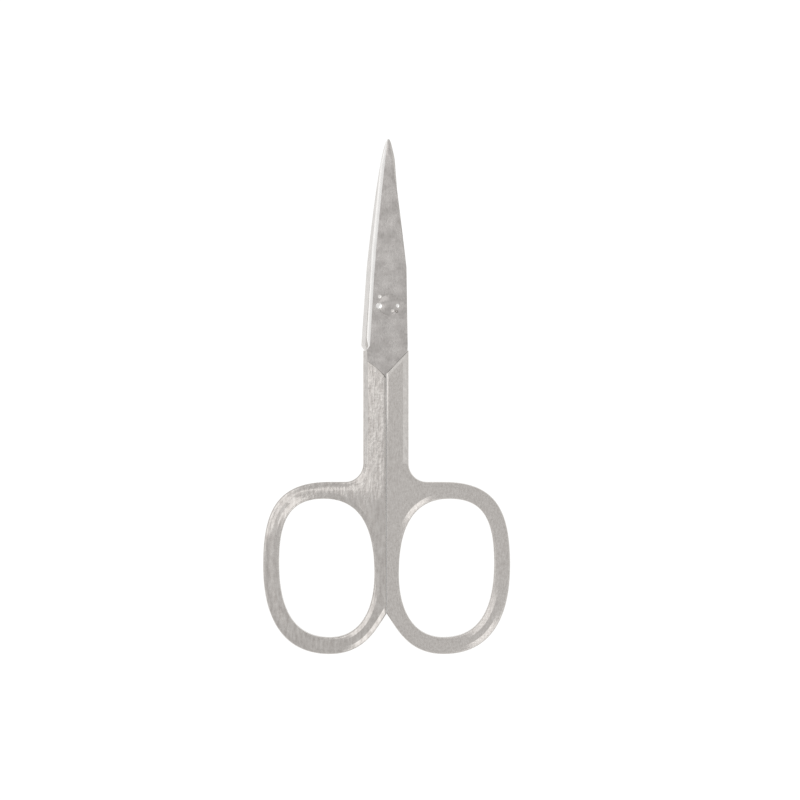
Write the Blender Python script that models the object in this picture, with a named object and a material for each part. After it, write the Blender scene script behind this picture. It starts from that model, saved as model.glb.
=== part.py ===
# Nail scissors: two forged steel halves, lapped at the joint and turning on one flush rivet.
# Metres, +Z up, +Y towards the points. The origin is on the rivet's axis, on the surface that
# the closed scissors lie on. Each half is drawn with its finger ring at +X, its blade in the
# lower layer and z = 0 in the middle of the thickness. The upper half is such a half turned
# over about Y. Distances across are measured from the centre line between the two halves.

import math

import bmesh
import bpy
from mathutils import Matrix, Vector

# Distances along the scissors from the rivet's axis
TIP_REACH = 0.0289
EDGE_BEND_REACH = 0.0095
BACK_BEND_REACH = 0.0066
HEEL_REACH = 0.0072
SHANK_START_REACH = 0.0085
SHOULDER_REACH = 0.0089
FLAT_REACH = 0.0096
APEX_REACH = 0.0127
FILLET_REACH = 0.0278
RING_TOP_REACH = 0.0310
RING_WIDEST_REACH = 0.0456
NOTCH_REACH = 0.0540
RING_END_REACH = 0.0611

# The outside of shank and ring. Fullness is the length of a curve's handle as a share of the
# distance that the curve covers in the handle's direction.
SHANK_WIDTH = 0.00385
RING_CORNER_WIDTH = 0.0101
RING_WIDTH = 0.0216
RING_BOTTOM_WIDTH = 0.0100
RING_TOP_FULLNESS = 0.83
RING_UPPER_SIDE_FULLNESS = 0.61
RING_LOWER_FULLNESS = 0.62
RING_BOTTOM_FULLNESS = 0.61
NOTCH_ANGLE = math.radians(33)
NOTCH_HANDLE = 0.0034

# The finger opening: its four extreme points, and the fullness of each quarter
HOLE_TOP = (0.01095, -0.03395)
HOLE_OUTER = (0.01880, -0.04510)
HOLE_BOTTOM = (0.00990, -0.05815)
HOLE_INNER = (0.00215, -0.04700)
HOLE_FULLNESS = (0.75, 0.67, 0.63, 0.72)

# The blades
TIP_WIDTH = 0.00018
BACK_WIDTH = 0.00348
EDGE_WIDTH = 0.0019
EDGE_HEEL_WIDTH = 0.0030
EDGE_FOOT_WIDTH = 0.0033
EDGE_POWER = 0.9
UPPER = {"tip_offset": 0.0004, "back_power": 0.775, "heel_width": 0.0037, "foot": (0.0036, -0.0089)}
LOWER = {"tip_offset": 0.0001, "back_power": 0.66, "heel_width": 0.0043, "foot": (0.0033, -0.0086)}

# Thicknesses
SHANK_THICKNESS = 0.0032
RING_THICKNESS = 0.0026
FLAT_DEPTH = 0.0001
TIP_THICKNESS = 0.0006
TAPER_START = 0.0055
WEDGE_SHARE = 0.35
WEDGE_RUN = 0.005

# Edges and ground surfaces
CROWN_WIDTH = 0.0010
CROWN_HEIGHT = 0.0010
SEAM_CHAMFER = 0.00022
SHOULDER_CHAMFER = 0.0003
FLAT_RAMP = 2.0
BACK_ROUND = 0.0006
BEVEL_WIDTH = 0.0004
BEVEL_HEIGHT = 0.00065
EDGE_LAND = 0.00002
HOLLOW_DEPTH = 0.00012
HOLLOW_EDGE_LAND = 0.0003
HOLLOW_BACK_LAND = 0.0006
HOLLOW_START = 0.004
HOLLOW_RUN = 0.004

# The rivet
RIVET_OFFSET = 0.00045
RIVET_RADIUS = 0.0011
RIVET_HEAD_RADIUS = 0.00185
RIVET_HEAD_DEPTH = 0.0007
RIVET_RIM = 0.00008

# Clearances, and the length of a cutter that passes clear of the whole part
LAP_GAP = 0.0001
CENTRE_GAP = 0.0002
SHOULDER_GAP = 0.00015
BORE_GAP = 0.00005
PROUD = 0.00006
BEYOND = 0.06

# Fineness of the curved surfaces
RING_STEPS = 14
HOLE_STEPS = 11
FILLET_STEPS = 8
CROWN_STEPS = 4
BACK_STEPS = 4
HOLLOW_STEPS = 4
BLADE_STEPS = 16
THICKNESS_ROWS = 8
ROUND_STEPS = 48

STEEL = (0.42, 0.40, 0.385, 1.0)
RIVET_STEEL = (0.50, 0.48, 0.465, 1.0)


def clear_scene():
    for obj in list(bpy.data.objects):
        bpy.data.objects.remove(obj, do_unlink=True)


def steel(name, colour, roughness):
    material = bpy.data.materials.new(name)
    material.use_nodes = True
    surface = material.node_tree.nodes["Principled BSDF"]
    surface.inputs["Base Color"].default_value = colour
    surface.inputs["Metallic"].default_value = 1.0
    surface.inputs["Roughness"].default_value = roughness
    return material


def add_object(bm, name, material=None):
    """Makes an object of a mesh that is drawn about the object's own origin."""
    bmesh.ops.recalc_face_normals(bm, faces=bm.faces)
    mesh = bpy.data.meshes.new(name)
    bm.to_mesh(mesh)
    bm.free()
    obj = bpy.data.objects.new(name, mesh)
    bpy.context.scene.collection.objects.link(obj)
    if material:
        mesh.materials.append(material)
    return obj


def smoothstep(low, high, value):
    share = min(1.0, max(0.0, (value - low) / (high - low)))
    return share * share * (3 - 2 * share)


def between(start, end, share):
    return start + (end - start) * share


def bezier(start, start_handle, end_handle, end, steps):
    """Points of the curve after its start, up to and with its end."""
    points = []
    for i in range(1, steps + 1):
        t = i / steps
        s = 1 - t
        points.append(s**3 * start + 3 * s * s * t * start_handle + 3 * s * t * t * end_handle + t**3 * end)
    return points


def outside():
    """The outline of shank and ring. It runs on past the centre line and past the shank's start."""
    past = 2 * CROWN_WIDTH
    fillet_radius = RING_TOP_REACH - FILLET_REACH
    fillet_centre = Vector((SHANK_WIDTH + fillet_radius, -FILLET_REACH))
    points = [Vector((SHANK_WIDTH, past - SHANK_START_REACH))]
    for i in range(FILLET_STEPS + 1):
        angle = math.pi + math.pi / 2 * i / FILLET_STEPS
        points.append(fillet_centre + fillet_radius * Vector((math.cos(angle), math.sin(angle))))
    corner = Vector((RING_CORNER_WIDTH, -RING_TOP_REACH))
    widest = Vector((RING_WIDTH, -RING_WIDEST_REACH))
    bottom = Vector((RING_BOTTOM_WIDTH, -RING_END_REACH))
    notch = Vector((CENTRE_GAP / 2, -NOTCH_REACH))
    points.append(corner)
    across, down = widest - corner, bottom - widest
    points += bezier(
        corner,
        corner + Vector((across.x * RING_TOP_FULLNESS, 0)),
        widest - Vector((0, across.y * RING_UPPER_SIDE_FULLNESS)),
        widest,
        RING_STEPS,
    )
    points += bezier(
        widest,
        widest + Vector((0, down.y * RING_LOWER_FULLNESS)),
        bottom - Vector((down.x * RING_LOWER_FULLNESS, 0)),
        bottom,
        RING_STEPS,
    )
    towards_notch = Vector((-math.sin(NOTCH_ANGLE), math.cos(NOTCH_ANGLE)))
    points += bezier(
        bottom,
        bottom + Vector(((notch.x - bottom.x) * RING_BOTTOM_FULLNESS, 0)),
        notch - NOTCH_HANDLE * towards_notch,
        notch,
        RING_STEPS,
    )
    points.append(notch + past / math.sin(NOTCH_ANGLE) * towards_notch)
    points.append(Vector((points[-1].x, past - SHANK_START_REACH)))
    return points


def finger_opening():
    """The outline of the opening, one quarter after the other from its top."""
    corners = [Vector(p) for p in (HOLE_TOP, HOLE_OUTER, HOLE_BOTTOM, HOLE_INNER, HOLE_TOP)]
    points = []
    for i, fullness in enumerate(HOLE_FULLNESS):
        start, end = corners[i], corners[i + 1]
        level, upright = Vector((end.x - start.x, 0)) * fullness, Vector((0, end.y - start.y)) * fullness
        handles = (level, upright) if i % 2 == 0 else (upright, level)
        points += bezier(start, start + handles[0], end - handles[1], end, HOLE_STEPS)
    return points


def cut(bm, point, normal, remove=True):
    """Cuts along a plane. With remove, what lies on the normal's side goes and the cut is closed."""
    everything = bm.verts[:] + bm.edges[:] + bm.faces[:]
    bmesh.ops.bisect_plane(
        bm, geom=everything, plane_co=point, plane_no=normal, clear_outer=remove, dist=1e-7
    )
    if remove:
        open_edges = [e for e in bm.edges if e.is_boundary]
        bmesh.ops.holes_fill(bm, edges=open_edges, sides=0)


def handle():
    """Shank and ring: crowned along their edges, flat and lightly chamfered at the centre line."""
    bm = bmesh.new()
    edges = []
    for points in (outside(), finger_opening()):
        verts = [bm.verts.new((p.x, p.y, 0.0)) for p in points]
        edges += [bm.edges.new((verts[i - 1], verts[i])) for i in range(len(verts))]
    bmesh.ops.triangle_fill(bm, edges=edges, use_beauty=True)
    bmesh.ops.recalc_face_normals(bm, faces=bm.faces)
    top = bm.faces[:]
    if top[0].normal.z < 0:
        bmesh.ops.reverse_faces(bm, faces=top)
    rim = [e for e in bm.edges if e.is_boundary]
    wall = bmesh.ops.extrude_edge_only(bm, edges=rim)["geom"]
    low = [v for v in wall if isinstance(v, bmesh.types.BMVert)]
    half_wall = SHANK_THICKNESS / 2 - CROWN_HEIGHT
    for vert in set(bm.verts) - set(low):
        vert.co.z = half_wall
    for i in range(CROWN_STEPS):
        start, end = (math.pi / 2 * (i + j) / CROWN_STEPS for j in (0, 1))
        ring = bmesh.ops.inset_region(
            bm,
            faces=top,
            thickness=CROWN_WIDTH * (math.cos(start) - math.cos(end)),
            depth=CROWN_HEIGHT * (math.sin(end) - math.sin(start)),
            use_even_offset=True,
        )["faces"]
        for face in ring:
            face.smooth = True
    bmesh.ops.mirror(bm, geom=bm.verts[:] + bm.edges[:] + bm.faces[:], axis="Z", merge_dist=1e-7)
    cut(bm, (CENTRE_GAP / 2, 0, 0), (-1, 0, 0))
    cut(bm, (0, -SHANK_START_REACH, 0), (0, 1, 0))
    for side in (-1, 1):
        cut(bm, (CENTRE_GAP / 2 + SEAM_CHAMFER, 0, side * SHANK_THICKNESS / 2), (-1, 0, side))
    for i in range(THICKNESS_ROWS + 1):
        row = between(APEX_REACH, -HOLE_TOP[1], i / THICKNESS_ROWS)
        cut(bm, (0, -row, 0), (0, 1, 0), remove=False)
    for vert in bm.verts:
        ring_share = smoothstep(APEX_REACH, -HOLE_TOP[1], -vert.co.y)
        vert.co.z *= between(1, RING_THICKNESS / SHANK_THICKNESS, ring_share)
    return bm


def back_at(numbers, y):
    """How far the back of the blade and the end of the lap lie from the centre line."""
    foot_width, foot_y = numbers["foot"]
    if y >= BACK_BEND_REACH:
        share = (TIP_REACH - y) / (TIP_REACH - BACK_BEND_REACH)
        return between(numbers["tip_offset"] + TIP_WIDTH / 2, BACK_WIDTH, share ** numbers["back_power"])
    if y >= -HEEL_REACH:
        share = (BACK_BEND_REACH - y) / (BACK_BEND_REACH + HEEL_REACH)
        return between(BACK_WIDTH, numbers["heel_width"], share)
    if y >= foot_y:
        return between(numbers["heel_width"], foot_width, (-HEEL_REACH - y) / (-HEEL_REACH - foot_y))
    apex_y = SHOULDER_GAP * math.sqrt(2) - APEX_REACH
    return foot_width * (y - apex_y) / (foot_y - apex_y)


def edge_at(numbers, y):
    """How far the cutting edge lies from the centre line, and below it a line within the shank."""
    if y >= EDGE_BEND_REACH:
        share = (TIP_REACH - y) / (TIP_REACH - EDGE_BEND_REACH)
        return between(TIP_WIDTH / 2 - numbers["tip_offset"], EDGE_WIDTH, share**EDGE_POWER)
    if y >= -HEEL_REACH:
        share = (EDGE_BEND_REACH - y) / (EDGE_BEND_REACH + HEEL_REACH)
        return between(EDGE_WIDTH, EDGE_HEEL_WIDTH, share)
    if y >= -SHANK_START_REACH:
        share = (-HEEL_REACH - y) / (SHANK_START_REACH - HEEL_REACH)
        return between(EDGE_HEEL_WIDTH, EDGE_FOOT_WIDTH, share)
    return between(EDGE_FOOT_WIDTH, SHANK_WIDTH / 2, smoothstep(SHANK_START_REACH, SHOULDER_REACH, -y))


def blade_section(numbers, y):
    """A cross-section as points (x, z), with the bevel at +X, the back at -X and the lap face on top."""
    edge, back = edge_at(numbers, y), -back_at(numbers, y)
    joint_thickness = SHANK_THICKNESS / 2 - FLAT_DEPTH + PROUD
    taper = max(0.0, (y - TAPER_START) / (TIP_REACH - TAPER_START))
    thickness = between(joint_thickness, TIP_THICKNESS + LAP_GAP / 2, taper)
    wedge = WEDGE_SHARE * smoothstep(TAPER_START - WEDGE_RUN, TAPER_START + WEDGE_RUN, y)
    width = edge - back
    bevel_width = min(BEVEL_WIDTH, 0.4 * width)
    edge_thickness = thickness * (1 - wedge)
    land = max(LAP_GAP / 2 + EDGE_LAND, edge_thickness - BEVEL_HEIGHT)
    round_radius = min(BACK_ROUND, 0.5 * width, 0.7 * thickness)
    points = [(edge, 0.0), (edge, -land), (edge - bevel_width, -edge_thickness)]
    for i in range(BACK_STEPS + 1):
        angle = math.pi / 2 * (1 + i / BACK_STEPS)
        along = round_radius * (1 + math.cos(angle))
        points.append((back + along, round_radius * (1 - math.sin(angle)) - thickness))
    points.append((back, 0.0))
    depth = (HOLLOW_DEPTH + LAP_GAP / 2) * smoothstep(HOLLOW_START, HOLLOW_START + HOLLOW_RUN, y)
    depth *= 1 - smoothstep(between(TAPER_START, TIP_REACH, 0.6), TIP_REACH, y)
    fit = min(1.0, width / (2 * (HOLLOW_EDGE_LAND + HOLLOW_BACK_LAND)))
    for i in range(HOLLOW_STEPS + 1):
        share = i / HOLLOW_STEPS
        x = between(back + fit * HOLLOW_BACK_LAND, edge - fit * HOLLOW_EDGE_LAND, share)
        points.append((x, -depth * math.sin(math.pi * share)))
    return points


def blade_blank(numbers):
    """Blade and lap in one, from the tip to the apex of the shoulders, with a little to grind off."""
    stops = [BACK_BEND_REACH, -HEEL_REACH, numbers["foot"][1], -SHANK_START_REACH, -SHOULDER_REACH]
    stops += [EDGE_BEND_REACH, TAPER_START, HOLLOW_START, -0.95 * APEX_REACH, -APEX_REACH]
    for i in range(BLADE_STEPS + 1):
        stops.append(between(HOLLOW_START + HOLLOW_RUN / 2, TIP_REACH, i / BLADE_STEPS))
    bm = bmesh.new()
    rows = []
    for y in sorted(set(stops), reverse=True):
        rows.append([bm.verts.new((x, y, z)) for x, z in blade_section(numbers, y)])
    for above, below in zip(rows, rows[1:]):
        for i in range(len(above)):
            face = bm.faces.new((above[i - 1], above[i], below[i], below[i - 1]))
            face.smooth = True
    bm.faces.new(rows[0])
    bm.faces.new(rows[-1])
    return bm


def beyond_line(reach, profile):
    """A prism along the slanting line from the apex to the shank's side at the reach given.

    The profile's points are (distance from the line towards the blade, z)."""
    apex = Vector((0.0, -APEX_REACH, 0.0))
    along = (Vector((SHANK_WIDTH, -reach, 0.0)) - apex).normalized()
    towards_blade = Vector((-along.y, along.x, 0.0))
    bm = bmesh.new()
    ends = []
    for length in (-BEYOND, BEYOND):
        corner = apex + length * along
        ends.append([bm.verts.new(corner + n * towards_blade + Vector((0, 0, z))) for n, z in profile])
    for i in range(len(profile)):
        bm.faces.new((ends[0][i - 1], ends[0][i], ends[1][i], ends[1][i - 1]))
    bm.faces.new(ends[0])
    bm.faces.new(ends[1])
    return bm


def lap_cutter():
    """Takes off the upper layer above the shoulder, and chamfers the shoulder's top edge."""
    lap, chamfer_foot = -LAP_GAP / 2, SHANK_THICKNESS / 2 - SHOULDER_CHAMFER
    high = SHANK_THICKNESS
    profile = [(0, lap), (BEYOND, lap), (BEYOND, high), (chamfer_foot - high, high), (0, chamfer_foot)]
    return beyond_line(SHOULDER_REACH, profile)


def flat_cutter():
    """Grinds the outer face of blade and joint flat, running out on to the shank."""
    flat, low = FLAT_DEPTH - SHANK_THICKNESS / 2, -SHANK_THICKNESS
    profile = [(0, flat), (BEYOND, flat), (BEYOND, low), (FLAT_RAMP * (low - flat), low)]
    return beyond_line(FLAT_REACH, profile)


def turned(profile):
    """A round body about the rivet's axis from points (radius, z)."""
    bm = bmesh.new()
    verts = [bm.verts.new((radius, 0.0, z)) for radius, z in profile]
    edges = [bm.edges.new(pair) for pair in zip(verts, verts[1:])]
    bmesh.ops.spin(
        bm, geom=verts + edges, cent=(0, 0, 0), axis=(0, 0, 1), angle=2 * math.pi, steps=ROUND_STEPS
    )
    bmesh.ops.remove_doubles(bm, verts=bm.verts, dist=1e-7)
    for face in bm.faces:
        face.smooth = abs(face.normal.z) < 0.99
    return bm


def rivet_profile(gap=0.0, past=0.0):
    """A shank with a cone at both ends. With a gap and an excess length it is the hole for it."""
    end = SHANK_THICKNESS / 2
    head, shank = RIVET_HEAD_RADIUS + gap, RIVET_RADIUS + gap
    rim = 0.0 if gap else RIVET_RIM
    half = [(0.0, end + past), (head - rim, end + past)]
    half += [(head, end - rim)] if rim else [(head, end)]
    half.append((head, end - 2 * FLAT_DEPTH))
    half.append((shank, end - RIVET_HEAD_DEPTH - 2 * gap))
    return half + [(radius, -z) for radius, z in reversed(half)]


def scissor_half(name, numbers, material, turn):
    """One half with its origin on the rivet's axis. The turn is about Y."""
    placing = Matrix.Translation((-RIVET_OFFSET, 0, 0)) @ Matrix.Rotation(turn, 4, "Y")
    shapes = {"handle": handle(), "blade": blade_blank(numbers), "lap": lap_cutter(), "flat": flat_cutter()}
    for bm in shapes.values():
        bmesh.ops.transform(bm, matrix=placing, verts=bm.verts)
    half = add_object(shapes.pop("handle"), name, material)
    half.location.z = SHANK_THICKNESS / 2
    shapes["hole"] = turned(rivet_profile(BORE_GAP, FLAT_DEPTH))
    for shape, bm in shapes.items():
        helper = add_object(bm, f"{name}_{shape}")
        helper.parent = half
        helper.hide_render = True
        helper.display_type = "WIRE"
        step = half.modifiers.new(shape, "BOOLEAN")
        step.operation = "UNION" if shape == "blade" else "DIFFERENCE"
        step.solver = "EXACT"
        step.object = helper
    return half


clear_scene()
scissor_half("lower_half", LOWER, steel("lower_half_steel", STEEL, 0.35), 0.0)
scissor_half("upper_half", UPPER, steel("upper_half_steel", STEEL, 0.35), math.pi)
rivet = add_object(turned(rivet_profile()), "pivot_rivet", steel("rivet_steel", RIVET_STEEL, 0.3))
rivet.location.z = SHANK_THICKNESS / 2
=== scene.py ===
import math

import bpy
from mathutils import Matrix, Vector


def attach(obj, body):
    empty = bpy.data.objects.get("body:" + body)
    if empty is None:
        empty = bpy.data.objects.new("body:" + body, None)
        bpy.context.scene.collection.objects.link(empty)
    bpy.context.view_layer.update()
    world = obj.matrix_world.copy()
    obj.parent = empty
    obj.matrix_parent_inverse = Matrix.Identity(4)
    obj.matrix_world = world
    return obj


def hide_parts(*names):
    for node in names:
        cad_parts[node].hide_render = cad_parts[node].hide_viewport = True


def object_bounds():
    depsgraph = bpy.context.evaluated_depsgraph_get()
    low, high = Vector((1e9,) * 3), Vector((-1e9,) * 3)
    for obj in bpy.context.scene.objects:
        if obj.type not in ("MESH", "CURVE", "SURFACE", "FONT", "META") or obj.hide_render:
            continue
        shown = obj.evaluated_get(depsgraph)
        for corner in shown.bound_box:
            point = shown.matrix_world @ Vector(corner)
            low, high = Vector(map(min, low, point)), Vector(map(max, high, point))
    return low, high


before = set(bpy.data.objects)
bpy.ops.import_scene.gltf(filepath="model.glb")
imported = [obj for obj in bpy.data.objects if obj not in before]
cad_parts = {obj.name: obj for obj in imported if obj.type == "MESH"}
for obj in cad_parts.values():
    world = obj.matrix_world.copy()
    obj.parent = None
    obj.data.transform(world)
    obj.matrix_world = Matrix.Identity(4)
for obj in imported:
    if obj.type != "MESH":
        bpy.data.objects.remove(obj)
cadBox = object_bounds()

# Nail scissors, lying closed. Each half is drawn in millimetres with its finger ring at +X, its
# blade in the lower layer and z = 0 in the middle of the thickness, and then put on the frame.

mm = 0.001
boxLow, boxHigh = (corner / mm for corner in cadBox)
seamX = (boxLow.x + boxHigh.x) / 2  # the line between the halves, seen from the rivet
midZ = (boxLow.z + boxHigh.z) / 2
halfThick = (boxHigh.z - boxLow.z) / 2
circleHandle = 0.5523  # share of the radius that a quarter circle's handle takes
cutWeld = 1e-4  # a point this close to a cut lies on it
# upward share of a face's normal, below which the face is upright and above which it is level
uprightFace, levelFace = 0.1, 0.9
print("frame:", len(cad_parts), "nodes, box in mm", [round(side, 1) for side in boxHigh - boxLow])


def mix(start, end, share):
    return start + (end - start) * share


def smoothStep(low, high, value):
    share = min(1.0, max(0.0, (value - low) / (high - low)))
    return share * share * (3 - 2 * share)


# Working by hand: what is picked, opened, cut and joined

def deselectAll():
    if bpy.context.object and bpy.context.object.mode != "OBJECT":
        bpy.ops.object.mode_set(mode="OBJECT")
    bpy.ops.object.select_all(action="DESELECT")


def pick(*pieces):
    deselectAll()
    for piece in pieces:
        piece.select_set(True)
    bpy.context.view_layer.objects.active = pieces[0]


def openMesh(piece, rule=None):
    # into edit mode, with the faces picked that fit the rule, or all of them
    pick(piece)
    bpy.ops.object.mode_set(mode="EDIT")
    bpy.ops.mesh.select_mode(type="FACE")
    bpy.ops.mesh.select_all(action="DESELECT" if rule else "SELECT")
    if rule:
        bpy.ops.object.mode_set(mode="OBJECT")
        for face in piece.data.polygons:
            face.select = rule(face)
        bpy.ops.object.mode_set(mode="EDIT")


def closeMesh(piece):
    # turns every face outwards and leaves edit mode
    openMesh(piece)
    bpy.ops.mesh.normals_make_consistent(inside=False)
    deselectAll()


def cutAcross(piece, place, normal, keepBoth=True):
    # a cut through the whole piece, which keeps what lies behind the plane, or both sides
    openMesh(piece)
    bpy.ops.mesh.bisect(
        plane_co=place,
        plane_no=normal,
        use_fill=not keepBoth,
        clear_outer=not keepBoth,
        threshold=cutWeld,
    )
    deselectAll()


def finishWith(piece, kind, **settings):
    # a modifier, applied at once
    pick(piece)
    step = piece.modifiers.new(kind, kind)
    for name, value in settings.items():
        setattr(step, name, value)
    bpy.ops.object.modifier_apply(modifier=step.name)


def combine(piece, other, operation):
    # joins or cuts, and the tool goes
    finishWith(piece, "BOOLEAN", object=other, operation=operation, solver="EXACT")
    pick(other)
    bpy.ops.object.delete()


# Steel. All three pieces are hardened stainless cutlery steel, finished in eight ways; the near-white
# bevel, the lighter back chamfer and the lighter rims also paint highlight and sheen into their colour.

steelForm = {
    "grainDetail": 4.0,
    "cloudDetail": 5.0,
    "colourSpan": (0.35, 0.65),  # noise that gives the dark and the light colour
    "roughSpan": (0.3, 0.7),  # noise that gives the rough and the smooth end
}


def linear(hexColour):
    parts = [int(hexColour[i : i + 2], 16) / 255 for i in (1, 3, 5)]
    return [c / 12.92 if c <= 0.04045 else ((c + 0.055) / 1.055) ** 2.4 for c in parts] + [1.0]


def addNode(tree, kind, settings=None, inputs=None):
    node = tree.nodes.new(kind)
    for name, value in (settings or {}).items():
        setattr(node, name, value)
    for name, value in (inputs or {}).items():
        if isinstance(value, bpy.types.NodeSocket):
            tree.links.new(value, node.inputs[name])
        else:
            node.inputs[name].default_value = value
    return node


def makeSteel(look):
    # drawn-out grain and round clouds share one noise, which moves colour, roughness and bump together
    steel = bpy.data.materials.new(look["name"])
    steel.use_nodes = True
    tree = steel.node_tree
    shader = tree.nodes["Principled BSDF"]
    shader.inputs["Metallic"].default_value = 1.0
    place = addNode(tree, "ShaderNodeTexCoord")
    grainScale = [1 / (size * mm) for size in look["grainSize"]]
    along = addNode(
        tree, "ShaderNodeMapping", inputs={"Vector": place.outputs["Object"], "Scale": grainScale}
    )
    grain = addNode(
        tree,
        "ShaderNodeTexNoise",
        inputs={"Vector": along.outputs[0], "Scale": 1.0, "Detail": steelForm["grainDetail"]},
    )
    cloud = addNode(
        tree,
        "ShaderNodeTexNoise",
        inputs={
            "Vector": place.outputs["Object"],
            "Scale": 1 / (look["cloudSize"] * mm),
            "Detail": steelForm["cloudDetail"],
        },
    )
    tone = addNode(
        tree,
        "ShaderNodeMix",
        {"data_type": "FLOAT"},
        {"Factor": look["cloudShare"], "A": grain.outputs["Fac"], "B": cloud.outputs["Fac"]},
    )
    colours = addNode(tree, "ShaderNodeValToRGB", inputs={"Fac": tone.outputs[0]})
    ends = zip(colours.color_ramp.elements, steelForm["colourSpan"], (look["dark"], look["light"]))
    for end, position, colour in ends:
        end.position = position
        end.color = linear(colour)
    roughness = addNode(
        tree,
        "ShaderNodeMapRange",
        inputs={
            "Value": tone.outputs[0],
            "From Min": steelForm["roughSpan"][0],
            "From Max": steelForm["roughSpan"][1],
            "To Min": look["roughness"][1],
            "To Max": look["roughness"][0],
        },
    )
    bump = addNode(
        tree,
        "ShaderNodeBump",
        inputs={"Strength": 1.0, "Distance": look["bump"] * mm, "Height": tone.outputs[0]},
    )
    if "smoothing" in look:
        # the dimples fade between these heights, from the shank to the rings
        ringTop, shankEnd, least = look["smoothing"]
        parts = addNode(tree, "ShaderNodeSeparateXYZ", inputs={"Vector": place.outputs["Object"]})
        strength = addNode(
            tree,
            "ShaderNodeMapRange",
            inputs={
                "Value": parts.outputs["Y"],
                "From Min": ringTop * mm,
                "From Max": shankEnd * mm,
                "To Min": least,
                "To Max": 1.0,
            },
        )
        tree.links.new(strength.outputs[0], bump.inputs["Strength"])
    tree.links.new(colours.outputs[0], shader.inputs["Base Color"])
    tree.links.new(roughness.outputs[0], shader.inputs["Roughness"])
    tree.links.new(bump.outputs[0], shader.inputs["Normal"])
    return steel


# Sizes are in mm, the grain's across, along and through the piece. Real grinding lines are about
# 0.02 mm apart and tumbled dimples 0.1 mm, too fine to show, so all are drawn several times coarser.
# Being metal, each has metallic 1 and the default IOR.
steelLooks = {
    # drop forged and tumbled in stones: a hammered sparkle on the shanks, softer round the rings
    "forged": {
        "name": "tumbledForgedSteel",
        "dark": "#ABA6A2", "light": "#C7C3BF", "roughness": (0.16, 0.24),
        "grainSize": (0.42, 2.0, 0.42), "cloudSize": 0.45, "cloudShare": 0.35, "bump": 0.12,
        "smoothing": (-36, -29, 0.05),
    },
    # forged, then drawn over a fine belt: an even, silky grey with short scratches along the shank
    "satin": {
        "name": "satinForgedSteel",
        "dark": "#B1ACA8", "light": "#CBC7C3", "roughness": (0.18, 0.26),
        "grainSize": (0.16, 0.8, 0.16), "cloudSize": 0.35, "cloudShare": 0.4, "bump": 0.008,
    },
    # ground flat on a stone: the darkest, broad and cloudy, with hardly a line
    "ground": {
        "name": "surfaceGroundSteel",
        "dark": "#A09C99", "light": "#C6C2BF", "roughness": (0.24, 0.32),
        "grainSize": (0.25, 0.5, 0.25), "cloudSize": 2.2, "cloudShare": 0.6, "bump": 0.003,
    },
    # the cutting bevel, polished on a felt wheel: a near-white strip, its near-white colour a painted
    # highlight; the brightest dents beside the rivet take it too, as painted glints
    "polishedHighlight": {
        "name": "polishedHighlightBevelSteel",
        "dark": "#E6E4E2", "light": "#F2F0EE", "roughness": (0.14, 0.22),
        "grainSize": (0.1, 1.5, 0.1), "cloudSize": 1.5, "cloudShare": 0.3, "bump": 0.0008,
    },
    # hollow ground on a large wheel: fine lines straight across the blade, and a soft sheen
    "hollow": {
        "name": "hollowGroundSteel",
        "dark": "#BDB9B5", "light": "#D3CFCB", "roughness": (0.2, 0.3),
        "grainSize": (1.6, 0.07, 1.6), "cloudSize": 2.0, "cloudShare": 0.25, "bump": 0.001,
    },
    # lapped where steel turns on steel: a light, even grey
    "lap": {
        "name": "lappedJointSteel",
        "dark": "#BDB9B5", "light": "#D6D2CE", "roughness": (0.2, 0.3),
        "grainSize": (0.08, 1.2, 0.08), "cloudSize": 1.4, "cloudShare": 0.35, "bump": 0.001,
    },
    # a lighter rim along the shank and round the rings: a painted highlight on the sloped faces of the
    # rims; one dent takes it as a painted glint
    "paintedSheen": {
        "name": "paintedSheenEdgeSteel",
        "dark": "#C6C2BE", "light": "#DCD8D4", "roughness": (0.18, 0.26),
        "grainSize": (0.3, 1.2, 0.3), "cloudSize": 0.6, "cloudShare": 0.5, "bump": 0.006,
    },
    # the chamfer along the back, buffed by hand and coloured lighter still as a painted sheen, but not
    # as bright as the bevel; one dent takes it as a painted glint
    "buffedSheen": {
        "name": "buffedSheenChamferSteel",
        "dark": "#DEDBD8", "light": "#EDEAE7", "roughness": (0.2, 0.28),
        "grainSize": (0.08, 1.2, 0.08), "cloudSize": 1.4, "cloudShare": 0.35, "bump": 0.001,
    },
}
finishes = list(steelLooks)
steels = {finish: makeSteel(look) for finish, look in steelLooks.items()}
print("steels:", len(steels))


def giveSteels(piece, finish):
    # every piece has all the slots, so that a cut keeps the finish of the tool that made it
    piece.data.materials.clear()
    for name in finishes:
        piece.data.materials.append(steels[name])
    for face in piece.data.polygons:
        face.material_index = finishes.index(finish)


# Shank and finger ring. From here on sizes are in mm, with x out from the seam and y up from the rivet.

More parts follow.
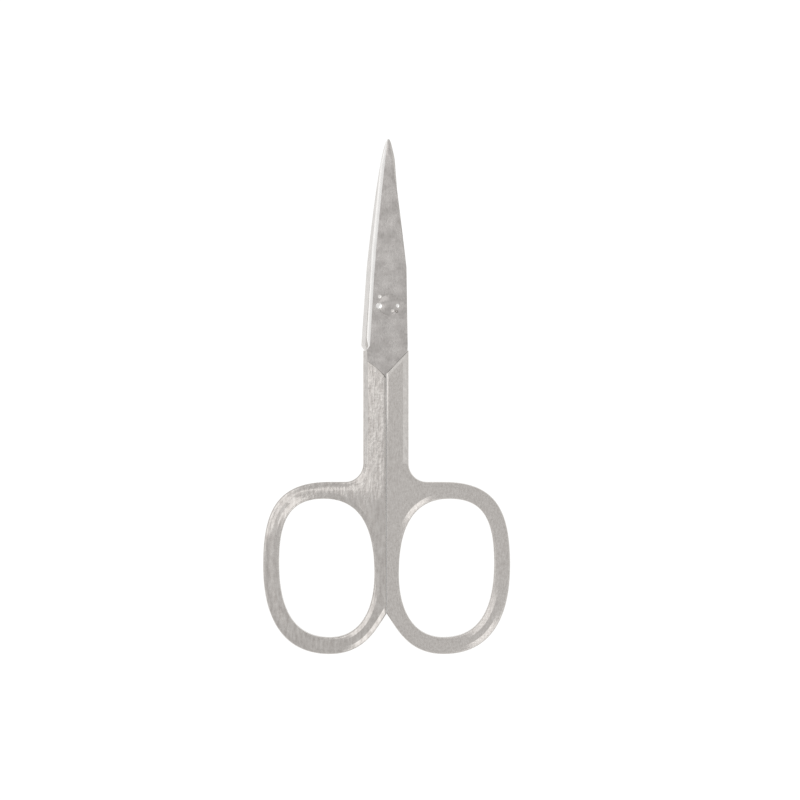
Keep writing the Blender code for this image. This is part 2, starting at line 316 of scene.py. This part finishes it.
handleForm = {
    # outline: down the shank, round the ring and back up the seam
    "top": -8.05,
    "filletStart": -27.8,  # the straight shank ends here
    "ringTop": -31.0,
    "cornerX": 10.1,  # and the ring's level top ends here
    "widest": (21.6, -45.6),
    "bottom": (10.0, -61.1),
    "notch": (0.02, -54.0),  # where the two rings part
    "notchAngle": 33,
    "notchHandle": 3.4,
    "overrun": 2.5,  # drawn past the seam and the top, and cut off there
    "topFullness": 0.83,  # curve handles, as shares of the way to the next corner
    "upperSideFullness": 0.61,
    "lowerFullness": 0.65,
    "bottomFullness": 0.61,
    "hole": [(10.95, -33.95), (18.8, -45.1), (9.9, -58.15), (2.15, -47.0)],
    "holeFullness": [0.715, 0.67, 0.63, 0.665],
    "fineness": 26,
    "weld": 1e-3,
    "straight": 1e-3,  # radians, below which two lines become one
    # rim: width and height of the rounded edge, and of the chamfer above it
    "outerCrown": ((0.3, 0.4), (0.55, 0.28)),
    "innerCrown": ((0.3, 0.4), (0.7, 0.42)),
    "crownSteps": 9,
    "chamferSteps": 3,
    # thickness: the shank thins from taperStart to the hole's top
    "taperStart": -12.7,
    "ringHalfThick": 1.3,
    # dome of the outer side, with its peak at this x, fading out below the rivet between these depths
    "domePeak": 0.5,
    "domeDrop": 0.45,
    "domePower": 1.05,
    "domeReach": 1.2,
    "domeEnd": (26, 42),
    # the outer side leans away towards the ring's top, from the ring's middle line outwards
    "leanDirection": (0.5, 0.87),
    "leanStart": -24.3,
    "leanSlope": 0.16,
    "leanColumns": (3, 9),
    "leanRing": {"middle": (10.5, -46.0), "reach": (9.7, 13.55), "squareness": 2.5, "start": 0.975},
    "leanInset": 0.35,  # gives the lean a line of points to start from
    # width and depth of the rounding along the seam, and where the inner one fades to its least share
    "outerSeamRound": (0.45, 0.18),
    "innerSeamRound": (0.3, 0.06),
    "seamFade": (13, 26),
    "seamLeast": 0.12,
    # rows and columns that let the surface bend
    "rowGap": 1.1,
    "columns": [
        0.05, 0.09, 0.14, 0.2, 0.27, 0.34, 0.4, 0.46, 0.52, 0.62, 0.75, 0.9, 1.1, 1.4, 1.8, 2.2, 2.6,
    ],
    # upward shares of the normal between which the sloped rim faces take the painted highlight, how far
    # out that starts, and the share that is satin
    "paintedSheenShank": (0.3, 0.93),
    "paintedSheenRing": (0.3, 0.75),
    "paintedSheenFrom": 0.9,
    "satinFrom": 0.8,
}


def outerKnots(shank):
    # round the handle from the top of the shank, with the seam's side drawn past the seam
    form = handleForm
    radius = form["filletStart"] - form["ringTop"]
    reach = circleHandle * radius
    widest, bottom, notch = (Vector(form[name]) for name in ("widest", "bottom", "notch"))
    corner = Vector((form["cornerX"], form["ringTop"]))
    angle = math.radians(form["notchAngle"])
    upNotch = Vector((-math.sin(angle), math.cos(angle)))
    past = notch + upNotch * form["overrun"] / math.sin(angle)
    start = form["top"] + form["overrun"]
    noHandle = (0, 0)
    return [
        ((shank, start), noHandle, noHandle),
        ((shank, form["filletStart"]), noHandle, (0, -reach)),
        ((shank + radius, form["ringTop"]), (-reach, 0), noHandle),
        (corner, noHandle, ((widest.x - corner.x) * form["topFullness"], 0)),
        (
            widest,
            (0, (corner.y - widest.y) * form["upperSideFullness"]),
            (0, (bottom.y - widest.y) * form["lowerFullness"]),
        ),
        (
            bottom,
            ((widest.x - bottom.x) * form["lowerFullness"], 0),
            ((notch.x - bottom.x) * form["bottomFullness"], 0),
        ),
        (notch, -upNotch * form["notchHandle"], noHandle),
        (past, noHandle, noHandle),
        ((past.x, start), noHandle, noHandle),
    ]


def holeKnots():
    places = [Vector(place) for place in handleForm["hole"]]
    fullness = handleForm["holeFullness"]
    knots = []
    for i, place in enumerate(places):
        last, following = places[i - 1], places[(i + 1) % len(places)]
        before = (last - place) * fullness[i - 1]
        after = (following - place) * fullness[i]
        if i % 2 == 0:
            knots.append((place, (before.x, 0), (after.x, 0)))  # the top and the bottom are level
        else:
            knots.append((place, (0, before.y), (0, after.y)))  # and the sides upright
    return knots


def drawOutline(knots):
    # a closed curve through the knots, each a place with the handles before and after it
    deselectAll()
    bpy.ops.curve.primitive_bezier_circle_add()
    outline = bpy.context.object
    spline = outline.data.splines[0]
    spline.bezier_points.add(len(knots) - len(spline.bezier_points))
    for point, (place, before, after) in zip(spline.bezier_points, knots):
        point.handle_left_type = point.handle_right_type = "FREE"
        point.co = Vector((*place, 0))
        point.handle_left = point.co + Vector((*before, 0))
        point.handle_right = point.co + Vector((*after, 0))
    outline.data.resolution_u = handleForm["fineness"]
    bpy.ops.object.convert(target="MESH")
    return bpy.context.object


def crownEdges(crown):
    # insets of the picked faces climb a quarter ellipse, and then a low chamfer
    (width, height), (chamferWidth, chamferHeight) = crown
    steps = handleForm["crownSteps"]
    for i in range(steps):
        start, end = (math.pi / 2 * (i + j) / steps for j in (0, 1))
        bpy.ops.mesh.inset(
            thickness=width * (math.cos(start) - math.cos(end)),
            depth=height * (math.sin(end) - math.sin(start)),
            use_even_offset=True,
        )
    steps = handleForm["chamferSteps"]
    for _ in range(steps):
        bpy.ops.mesh.inset(
            thickness=chamferWidth / steps, depth=chamferHeight / steps, use_even_offset=True
        )


def handleLevel(shank, x, y, outer):
    # what the dome, the rounding along the seam and the ring's taper leave of the half thickness
    form = handleForm
    seam = x - form["notch"][0]
    width, depth = form["outerSeamRound"] if outer else form["innerSeamRound"]
    drop = 0.0
    if seam < width:
        share = 1 - max(0.0, seam) / width
        fade = mix(1.0, form["seamLeast"], smoothStep(*form["seamFade"], -y))
        drop += depth * (1 - math.sqrt(1 - share * share)) if outer else depth * share * fade
    if outer:
        side = (x - form["domePeak"]) / (shank - form["domePeak"])
        side = min(form["domeReach"], max(0.0, side))
        drop += form["domeDrop"] * side ** form["domePower"] * (1 - smoothStep(*form["domeEnd"], -y))
        ring = form["leanRing"]
        across = abs(x - ring["middle"][0]) / ring["reach"][0]
        along = abs(y - ring["middle"][1]) / ring["reach"][1]
        power = ring["squareness"]
        radius = (across**power + along**power) ** (1 / power)
        lean = Vector(form["leanDirection"]).dot((x, y)) - form["leanStart"]
        lean = min(lean, (radius - ring["start"]) * ring["reach"][1])
        drop += form["leanSlope"] * max(0.0, lean) * smoothStep(*form["leanColumns"], x)
    ringShare = smoothStep(-form["taperStart"], -form["hole"][0][1], -y)
    return mix(halfThick, form["ringHalfThick"], ringShare) - drop


def makeHandle(shank):
    form = handleForm
    # the outline and its hole, filled as one flat face
    handle, hole = drawOutline(outerKnots(shank)), drawOutline(holeKnots())
    pick(handle, hole)
    bpy.ops.object.join()
    bpy.ops.object.mode_set(mode="EDIT")
    bpy.ops.mesh.select_all(action="SELECT")
    bpy.ops.mesh.remove_doubles(threshold=form["weld"])
    bpy.ops.mesh.fill(use_beauty=True)
    bpy.ops.mesh.select_all(action="SELECT")
    bpy.ops.mesh.dissolve_limited(angle_limit=form["straight"])
    bpy.ops.mesh.select_all(action="SELECT")
    # raised to a wall, with a rim climbing from it on each side
    outerHeight, innerHeight = (
        sum(height for _, height in form[name]) for name in ("outerCrown", "innerCrown")
    )
    wall = halfThick - innerHeight
    bpy.ops.mesh.extrude_region_move(TRANSFORM_OT_translate={"value": (0, 0, wall)})
    closeMesh(handle)
    openMesh(handle, lambda face: face.normal.z > levelFace)
    crownEdges(form["innerCrown"])
    deselectAll()
    openMesh(handle, lambda face: face.normal.z < -levelFace)
    bpy.ops.transform.translate(value=(0, 0, outerHeight - halfThick))
    crownEdges(form["outerCrown"])
    bpy.ops.mesh.inset(thickness=form["leanInset"], use_even_offset=True)
    deselectAll()
    # cut off at the seam and the top, and into rows and columns
    cutAcross(handle, (form["notch"][0], 0, 0), (-1, 0, 0), keepBoth=False)
    cutAcross(handle, (0, form["top"], 0), (0, 1, 0), keepBoth=False)
    row = form["taperStart"]
    while row > form["hole"][0][1] - form["rowGap"]:
        cutAcross(handle, (0, row, 0), (0, 1, 0))
        row -= form["rowGap"]
    for column in form["columns"]:
        cutAcross(handle, (column, 0, 0), (1, 0, 0))
    # brought to its height at each point
    for vertex in handle.data.vertices:
        vertex.co.z *= handleLevel(shank, vertex.co.x, vertex.co.y, vertex.co.z < 0) / halfThick
    closeMesh(handle)
    giveSteels(handle, "forged")
    # faces of the rims that slope between the two shares get the lighter colour of a painted highlight;
    # the inner side's level faces are satin
    for face in handle.data.polygons:
        part = "paintedSheenShank" if face.center.y > form["filletStart"] else "paintedSheenRing"
        steepest, flattest = form[part]
        if steepest < abs(face.normal.z) < flattest and face.center.x > form["paintedSheenFrom"]:
            face.material_index = finishes.index("paintedSheen")
        elif face.normal.z > form["satinFrom"]:
            face.material_index = finishes.index("satin")
    return handle


# Blade and lap. The edge is on the ring's side of the seam and the back across it.

bladeForm = {
    # outline, with widths from the seam
    "tip": 28.9,
    "tipWidth": 0.28,
    "edgeBend": 9.5,  # above this the edge curves to the tip
    "backBend": 6.6,  # and above this the back does
    "heel": -7.2,
    "backWidth": 3.48,
    "edgeWidth": 1.85,
    "edgeHeelWidth": 2.85,
    "flareWidth": 3.5,
    "edgePower": 0.9,
    "flarePower": 2.0,
    "tuck": 0.4,  # below the handle's top the edge turns in, inside the shank, within this
    # thickness, from the joint to the tip
    "flatDepth": 0.45,  # ground off the outer face round the rivet
    "proud": 0.06,  # what the blade has there to grind
    "taperStart": 5.5,
    "tipThick": 0.55,
    "lapGap": 0.05,  # half of the play between the halves
    "shoulderGap": 0.015,
    # bevel of the edge
    "bevelWidth": 0.72,
    "bevelSlope": 0.95,
    "bevelEnd": (-8.6, -5.6),
    "bevelShare": 0.45,  # most of the blade's width that it takes, near the tip
    "bevelLeast": 0.05,
    "sharp": 0.02,
    # edges of the back, which take at most these shares of the width and the thickness
    "outerBackRound": 0.18,
    "innerBackChamfer": (0.78, 0.48),
    "backShare": (0.35, 0.4),
    # hollow of the inner face, between two flat lands
    "hollow": 0.12,
    "hollowStart": 4.0,
    "hollowRun": 4.0,
    "hollowFade": 0.6,  # share of the taper after which it grows shallow
    "edgeLand": 0.3,
    "backLand": 0.9,
    # fineness
    "stations": 72,
    "footStations": (0.5, 0.1),
    "backSteps": 6,
    "hollowSteps": 12,
    "weld": 1e-5,
}
# what differs between the halves: the shank's width, and how the blade's back runs
upperBlade = {
    "shank": 4.1,
    "tipOffset": 0.34,  # of the tip's middle from the seam, towards the back
    "backPower": 0.86,
    "heelWidth": 3.7,
    "footWidth": 3.65,
}
lowerBlade = {
    "shank": 3.85,
    "tipOffset": -0.25,
    "backPower": 0.665,
    "heelWidth": 4.44,
    "footWidth": 4.0,
}
shoulderLine = {"apex": -12.1, "slope": 1.05}  # of each shoulder, up and out from the seam


def footLevel(x):
    # height of the blade's foot this far into the back, just clear of the shoulder
    return shoulderLine["apex"] + shoulderLine["slope"] * x + math.sqrt(2) * bladeForm["shoulderGap"]


def backAt(own, y):
    # how far the back stands from the seam at this height
    form = bladeForm
    footY = footLevel(own["footWidth"])
    if y >= form["backBend"]:
        share = (form["tip"] - y) / (form["tip"] - form["backBend"])
        tip = own["tipOffset"] + form["tipWidth"] / 2
        return mix(tip, form["backWidth"], share ** own["backPower"])
    if y >= form["heel"]:
        share = (form["backBend"] - y) / (form["backBend"] - form["heel"])
        return mix(form["backWidth"], own["heelWidth"], share)
    if y >= footY:
        return mix(own["heelWidth"], own["footWidth"], (form["heel"] - y) / (form["heel"] - footY))
    return (y - footLevel(0)) / shoulderLine["slope"]


def edgeAt(own, y):
    # how far the bevel's start stands from the seam at this height
    form = bladeForm
    top = handleForm["top"]
    if y >= form["edgeBend"]:
        share = (form["tip"] - y) / (form["tip"] - form["edgeBend"])
        tip = form["tipWidth"] / 2 - own["tipOffset"]
        return mix(tip, form["edgeWidth"], share ** form["edgePower"])
    if y >= form["heel"]:
        share = (form["edgeBend"] - y) / (form["edgeBend"] - form["heel"])
        return mix(form["edgeWidth"], form["edgeHeelWidth"], share)
    if y >= top:
        share = (form["heel"] - y) / (form["heel"] - top)
        return mix(form["edgeHeelWidth"], form["flareWidth"], share ** form["flarePower"])
    return mix(form["flareWidth"], own["shank"] / 2, smoothStep(-top, form["tuck"] - top, -y))


def bladeSection(own, y):
    # points (x, z, finish) round the blade, each finish being that of the strip up to the next point
    form = bladeForm
    faceEdge, back = edgeAt(own, y), -backAt(own, y)
    bevelWidth = form["bevelWidth"] * max(form["bevelLeast"], smoothStep(*form["bevelEnd"], y))
    bevelWidth = min(bevelWidth, form["bevelShare"] * (faceEdge - back))
    edge = faceEdge + bevelWidth
    width = edge - back
    taper = max(0.0, (y - form["taperStart"]) / (form["tip"] - form["taperStart"]))
    jointThick = halfThick - form["flatDepth"] + form["proud"]
    thick = mix(jointThick, form["tipThick"] + form["lapGap"], taper)
    # the edge, the bevel with its painted highlight, and the outer face
    land = max(form["lapGap"] + form["sharp"], thick - form["bevelSlope"] * bevelWidth)
    points = [(edge, 0.0, "forged"), (edge, -land, "polishedHighlight"), (faceEdge, -thick, "ground")]
    # the back, rounded outside and chamfered inside, the chamfer's lighter colour a painted sheen
    mostWide, mostDeep = form["backShare"][0] * width, form["backShare"][1] * thick
    outer = min(form["outerBackRound"], mostWide, mostDeep)
    innerWide, innerDeep = form["innerBackChamfer"]
    share = min(1.0, mostWide / innerWide, mostDeep / innerDeep)
    innerWide, innerDeep = share * innerWide, share * innerDeep
    turns = [math.pi / 2 * i / form["backSteps"] for i in range(form["backSteps"] + 1)]
    points += [
        (back + outer * (1 - math.sin(turn)), outer * (1 - math.cos(turn)) - thick, "forged")
        for turn in turns
    ]
    points += [(back, -innerDeep, "buffedSheen"), (back + innerWide, 0.0, "lap")]
    # the inner face, hollow between its lands
    depth = form["hollow"] + form["lapGap"]
    depth *= smoothStep(form["hollowStart"], form["hollowStart"] + form["hollowRun"], y)
    fadeFrom = mix(form["taperStart"], form["tip"], form["hollowFade"])
    depth *= 1 - smoothStep(fadeFrom, form["tip"], y)
    fit = min(1.0, width / (2 * (form["edgeLand"] + form["backLand"])))
    for i in range(form["hollowSteps"] + 1):
        share = i / form["hollowSteps"]
        x = mix(back + fit * form["backLand"], edge - fit * form["edgeLand"], share)
        finish = "hollow" if i < form["hollowSteps"] else "lap"
        points.append((x, -depth * math.sin(math.pi * share), finish))
    return points


def makeBlade(own):
    # a grid rolled into a tube: its rows are the sections from the tip down, and its ends are closed
    form = bladeForm
    bends = ("edgeBend", "backBend", "heel", "taperStart", "hollowStart", "tip")
    stops = {form[name] for name in bends}
    stops |= {footLevel(own["footWidth"]), handleForm["top"], handleForm["top"] - form["tuck"]}
    stops |= {footLevel(x) for x in form["footStations"]}
    for i in range(form["stations"]):
        stops.add(mix(form["heel"], form["tip"], i / form["stations"]))
    stops = sorted(stops, reverse=True)
    sections = [bladeSection(own, y) for y in stops]
    around = len(sections[0])
    deselectAll()
    bpy.ops.mesh.primitive_grid_add(x_subdivisions=around, y_subdivisions=len(stops) - 1)
    blade = bpy.context.object
    giveSteels(blade, "forged")
    for index, vertex in enumerate(blade.data.vertices):
        row, column = divmod(index, around + 1)
        x, z, _ = sections[row][column % around]
        vertex.co = (x, stops[row], z)
    for index, face in enumerate(blade.data.polygons):
        row, column = divmod(index, around)
        face.material_index = finishes.index(sections[row][column][2])
    openMesh(blade)
    bpy.ops.mesh.remove_doubles(threshold=form["weld"])
    bpy.ops.mesh.select_all(action="SELECT")
    bpy.ops.mesh.fill_holes(sides=0)
    closeMesh(blade)
    return blade


# The joint: lap, shoulder, ground flat and rivet hole

jointForm = {
    "shoulderChamfer": (0.5, 0.016),
    "shoulderCorner": 1.25,
    # the flat round the rivet stops at an arc across the shank, up a steep step
    "flatEnd": -12.75,
    "flatArc": 10.5,
    "flatArcCentre": (8.35, -19.2),
    "flatRamp": 0.8,  # how much wider the arc gets over the whole thickness
    "arcSides": 256,
    "boreRadius": 1.15,
    "sinkRadius": 1.87,
    "sinkDepth": 0.75,
    "boreSides": 96,
    "far": 60,  # a cutter's length, past any side of the piece
}
cutterHeight = 4 * halfThick


def makePrism(profile, start, along, finish):
    # an n-gon of the profile's points (to the side, z), extruded both ways along a level line
    deselectAll()
    bpy.ops.mesh.primitive_circle_add(vertices=len(profile), fill_type="NGON")
    prism = bpy.context.object
    side = Vector((-along.y, along.x, 0))
    reach = jointForm["far"] * along
    for vertex, (out, z) in zip(prism.data.vertices, profile):
        vertex.co = start - reach + out * side + Vector((0, 0, z))
    openMesh(prism)
    bpy.ops.mesh.extrude_region_move(TRANSFORM_OT_translate={"value": 2 * reach})
    closeMesh(prism)
    giveSteels(prism, finish)
    return prism


def shoulderCutter(own, turn):
    # all that the other half's blade needs free above this half's lap, with a low chamfer on its rim
    apex = Vector((0, shoulderLine["apex"], 0))
    along = Vector((1, shoulderLine["slope"], 0)).normalized()
    width, depth = jointForm["shoulderChamfer"]
    lap, far = -bladeForm["lapGap"], jointForm["far"]
    foot, high = halfThick - depth, halfThick + depth
    profile = [(0, lap), (far, lap), (far, high), (-2 * width, high), (0, foot)]
    cutter = makePrism(profile, apex, along, "lap")
    for face in cutter.data.polygons:
        if uprightFace < abs(face.normal.z) < levelFace:
            face.material_index = finishes.index("satin")
    if turn:
        # the upper half's hidden corner passes the lower blade's back only with this much off it
        corner = Vector((own["shank"] - jointForm["shoulderCorner"], handleForm["top"], 0))
        profile = [(0, lap), (far, lap), (far, high), (0, high)]
        prism = makePrism(profile, corner, Vector((1, -1, 0)).normalized(), "lap")
        combine(cutter, prism, "UNION")
    return cutter


def flatCutter():
    # a block over the blade's outer face, less a cone that stands on the shank
    form = jointForm
    flat = bladeForm["flatDepth"] - halfThick
    deselectAll()
    bpy.ops.mesh.primitive_cube_add(
        size=1,
        location=(0, form["flatEnd"] + form["far"] / 2, flat - halfThick),
        scale=(form["far"], form["far"], 2 * halfThick),
    )
    cutter = bpy.context.object
    bpy.ops.object.transform_apply(location=True, scale=True)
    bpy.ops.mesh.primitive_cone_add(
        vertices=form["arcSides"],
        radius1=form["flatArc"] - form["flatRamp"],
        radius2=form["flatArc"] + form["flatRamp"],
        depth=cutterHeight,
        location=(*form["flatArcCentre"], flat),
    )
    shank = bpy.context.object
    bpy.ops.object.transform_apply(location=True)
    combine(cutter, shank, "DIFFERENCE")
    giveSteels(cutter, "ground")
    return cutter


def drillRivetHole(half, axisX):
    # a bore, and a countersink from the ground face
    form = jointForm
    deselectAll()
    bpy.ops.mesh.primitive_cylinder_add(
        vertices=form["boreSides"],
        radius=form["boreRadius"],
        depth=cutterHeight,
        location=(axisX, 0, 0),
    )
    bore = bpy.context.object
    bpy.ops.object.transform_apply(location=True)
    giveSteels(bore, "lap")
    combine(half, bore, "DIFFERENCE")
    flat = bladeForm["flatDepth"] - halfThick
    slope = (form["sinkRadius"] - form["boreRadius"]) / form["sinkDepth"]
    bpy.ops.mesh.primitive_cone_add(
        vertices=form["boreSides"],
        radius1=form["sinkRadius"] + slope * bladeForm["flatDepth"],
        radius2=form["boreRadius"],
        depth=form["sinkDepth"] + bladeForm["flatDepth"],
        location=(axisX, 0, flat + (form["sinkDepth"] - bladeForm["flatDepth"]) / 2),
    )
    sink = bpy.context.object
    bpy.ops.object.transform_apply(location=True)
    giveSteels(sink, "lap")
    combine(half, sink, "DIFFERENCE")


# dents that the riveting tool left, each finish's light colour a painted glint in it, the last a deep
# pit dark by its shape: place beside the rivet, radius, radius of the ball, finish
strikes = [
    ((-1.8, -0.22), 0.52, 2.2, "polishedHighlight"),
    ((-1.66, 1.38), 0.33, 1.9, "buffedSheen"),
    ((1.5, -0.2), 0.33, 1.4, "polishedHighlight"),
    ((0.55, -1.08), 0.28, 1.5, "paintedSheen"),
    ((1.3, -1.2), 0.24, 0.242, "satin"),
]
ballSides, ballRings = 64, 48


def strikeMarks(piece, axisX, level, mirror):
    # in the outer face at this level, with mirror -1 on a half that is drawn face down
    out = math.copysign(1, level)
    for (x, y), radius, ball, finish in strikes:
        deselectAll()
        lift = math.sqrt(ball * ball - radius * radius)
        bpy.ops.mesh.primitive_uv_sphere_add(
            segments=ballSides,
            ring_count=ballRings,
            radius=ball,
            location=(axisX + mirror * x, y, level + out * lift),
        )
        dent = bpy.context.object
        bpy.ops.object.transform_apply(location=True)
        giveSteels(dent, finish)
        combine(piece, dent, "DIFFERENCE")


# Finishing: broken edges, smooth shading and the place on the frame

edgeForm = {
    # broken where faces meet at more than "corner" degrees, and shaded as one below "smooth" degrees
    "half": {"width": 0.035, "segments": 2, "corner": 32, "smooth": 19},
    "rivet": {"width": 0.03, "segments": 2, "corner": 20, "smooth": 26},
}


def breakEdges(piece, form):
    finishWith(
        piece,
        "BEVEL",
        width=form["width"],
        segments=form["segments"],
        limit_method="ANGLE",
        angle_limit=math.radians(form["corner"]),
    )
    pick(piece)
    bpy.ops.object.shade_smooth_by_angle(angle=math.radians(form["smooth"]))


def putOnFrame(piece, name, turn, body, node):
    # from its own millimetres to the frame's metres, and the upper half is turned face up
    pick(piece)
    piece.name = piece.data.name = name
    piece.matrix_world = (
        Matrix.Scale(mm, 4) @ Matrix.Translation((seamX, 0, midZ)) @ Matrix.Rotation(turn, 4, "Y")
    )
    bpy.ops.object.transform_apply(location=True, rotation=True, scale=True)
    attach(piece, body)
    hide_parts(node)


def makeHalf(name, own, turn, body):
    half = makeHandle(own["shank"])
    print(name, "handle:", len(half.data.polygons), "faces")
    combine(half, makeBlade(own), "UNION")
    combine(half, shoulderCutter(own, turn), "DIFFERENCE")
    combine(half, flatCutter(), "DIFFERENCE")
    print(name, "blade and shoulder:", len(half.data.polygons), "faces")
    axisX = seamX if turn else -seamX
    drillRivetHole(half, axisX)
    if turn:
        strikeMarks(half, axisX, bladeForm["flatDepth"] - halfThick, -1)
    breakEdges(half, edgeForm["half"])
    putOnFrame(half, name, turn, body, body)
    finishWith(half, "WEIGHTED_NORMAL", keep_sharp=True)
    print(name, "finished:", len(half.data.polygons), "faces")


makeHalf("lowerHalf", lowerBlade, 0.0, "lower_half")
makeHalf("upperHalf", upperBlade, math.pi, "upper_half")


# The rivet

rivetForm = {
    "headRadius": 1.84,
    "headDepth": 0.7,
    "proud": 0.02,  # how far it stands above the ground face
    "radius": 1.1,
    "rimChamfer": (0.12, 0.04),
    "sides": 96,
}


def makeRivet():
    form = rivetForm
    width, depth = form["rimChamfer"]
    end = halfThick - bladeForm["flatDepth"] + form["proud"]
    deselectAll()
    bpy.ops.mesh.primitive_cylinder_add(
        vertices=form["sides"],
        radius=form["headRadius"],
        depth=2 * (end - depth),
        location=(-seamX, 0, 0),
    )
    rivet = bpy.context.object
    bpy.ops.object.transform_apply(location=True)
    neck = end - form["headDepth"]
    for level in (-neck, neck):
        cutAcross(rivet, (0, 0, level), (0, 0, 1))
    openMesh(rivet, lambda face: abs(face.center.z) < neck)
    waist = form["radius"] / form["headRadius"]
    bpy.ops.transform.resize(value=(waist, waist, 1), center_override=(-seamX, 0, 0))
    deselectAll()
    openMesh(rivet, lambda face: abs(face.normal.z) > levelFace)
    bpy.ops.mesh.inset(thickness=width, depth=depth)
    deselectAll()
    closeMesh(rivet)
    giveSteels(rivet, "ground")
    strikeMarks(rivet, -seamX, end, 1)
    breakEdges(rivet, edgeForm["rivet"])
    putOnFrame(rivet, "pivotRivet", 0.0, "lower_half", "pivot_rivet")
    print("pivotRivet finished:", len(rivet.data.polygons), "faces")


makeRivet()


# Camera, light and table, as the photograph was taken

cameraForm = {
    "pixels": 800,  # width and height of the image
    "mmPerPixel": 90.0 / 515.4,  # the scissors are 90 mm long and take up 515.4 pixels
    "seamPixel": 386.6,
    "rivetPixel": 304.5,
    "lens": 220,  # mm, long enough for a view from straight above with hardly any perspective
    "sensor": 36,
    "clipEnd": 10,  # metres
}
# places are mm from where the camera aims, and brightness is that of the light's own surface
softBoxes = {
    "upperLeft": {"place": (-278, 160, 556), "size": (400, 480), "brightness": 0.7},
    "lowerRight": {"place": (270, -321, 482), "size": (320, 440), "brightness": 0.85},
}
roomForm = {
    "above": 0.86,
    "around": 0.9,
    "aboveFrom": 0.96,  # height in the sky, 1 being straight up
}
tableForm = {
    "size": 4000,
    "gap": 0.02,  # below the scissors, so that no faces meet
    "colour": "#6E6E6E",
    "roughness": 0.9,
    "glowColour": "#FFFFFF",
    "glow": 0.92,
}


def placeCamera():
    form = cameraForm
    middle = form["pixels"] / 2
    aimX = (middle - form["seamPixel"]) * form["mmPerPixel"] + seamX
    aimY = (form["rivetPixel"] - middle) * form["mmPerPixel"]
    width = form["pixels"] * form["mmPerPixel"]
    height = boxHigh.z + width * form["lens"] / form["sensor"]
    bpy.ops.object.camera_add(location=(aimX * mm, aimY * mm, height * mm), rotation=(0, 0, 0))
    camera = bpy.context.object
    camera.data.lens = form["lens"]
    camera.data.sensor_width = form["sensor"]
    camera.data.clip_end = form["clipEnd"]
    bpy.context.scene.camera = camera
    print("camera: mm above the table", round(height))
    return Vector((aimX, aimY, 0))


def placeLights(aim):
    for name, form in softBoxes.items():
        place = aim + Vector(form["place"])
        bpy.ops.object.light_add(type="AREA", location=place * mm)
        light = bpy.context.object
        light.name = name
        light.data.shape = "RECTANGLE"
        light.data.size, light.data.size_y = (side * mm for side in form["size"])
        light.data.energy = form["brightness"] * math.pi * light.data.size * light.data.size_y
        light.rotation_mode = "QUATERNION"
        light.rotation_quaternion = (aim - place).to_track_quat("-Z", "Y")
        print("light:", name, round(light.data.energy, 2), "W")


def placeRoom():
    # an even pale room, for the steel to reflect
    world = bpy.data.worlds.new("paleStudio")
    world.use_nodes = True
    tree = world.node_tree
    direction = addNode(tree, "ShaderNodeTexCoord")
    height = addNode(tree, "ShaderNodeSeparateXYZ", inputs={"Vector": direction.outputs["Generated"]})
    level = addNode(
        tree,
        "ShaderNodeMapRange",
        {"interpolation_type": "SMOOTHSTEP"},
        {
            "Value": height.outputs["Z"],
            "From Min": 0.0,
            "From Max": roomForm["aboveFrom"],
            "To Min": roomForm["around"],
            "To Max": roomForm["above"],
        },
    )
    tree.links.new(level.outputs[0], tree.nodes["Background"].inputs["Color"])
    bpy.context.scene.world = world
    print("room:", world.name)


def placeTable(aim):
    # opal acrylic, cast and lit from behind: an even white, with no shadow or reflection to be seen
    form = tableForm
    deselectAll()
    middle = Vector((aim.x, aim.y, -form["gap"]))
    bpy.ops.mesh.primitive_plane_add(size=form["size"] * mm, location=middle * mm)
    table = bpy.context.object
    table.name = "studioFloor"
    acrylic = bpy.data.materials.new("backlitWhiteAcrylic")
    acrylic.use_nodes = True
    shader = acrylic.node_tree.nodes["Principled BSDF"]
    shader.inputs["Base Color"].default_value = linear(form["colour"])
    shader.inputs["Roughness"].default_value = form["roughness"]
    shader.inputs["Emission Color"].default_value = linear(form["glowColour"])
    shader.inputs["Emission Strength"].default_value = form["glow"]
    table.data.materials.append(acrylic)
    print("table:", table.name)


aim = placeCamera()
placeLights(aim)
placeRoom()
placeTable(aim)
bpy.context.scene.view_settings.view_transform = "Standard"  # keeps the table's white as it is
